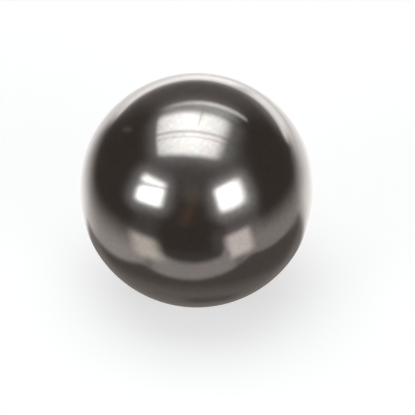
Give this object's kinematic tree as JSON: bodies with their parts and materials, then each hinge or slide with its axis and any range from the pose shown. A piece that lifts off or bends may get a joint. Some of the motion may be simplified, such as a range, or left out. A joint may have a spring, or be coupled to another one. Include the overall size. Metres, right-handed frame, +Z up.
{
  "type": "steel ball",
  "caption": "Solid steel ball with a plain mirror-polished surface, loose, for seating in a race, valve, socket or detent.",
  "frame": {"origin": "centre of the ball", "axes": "+Z up; the ball is alike about every axis through its centre, and its seat mount is at its lowest point"},
  "size_m": [0.0126, 0.0126, 0.0126],
  "materials": {
    "polished_steel": "polished"
  },
  "bodies": {
    "root": {"ball": "polished_steel"}
  },
  "joints": []
}
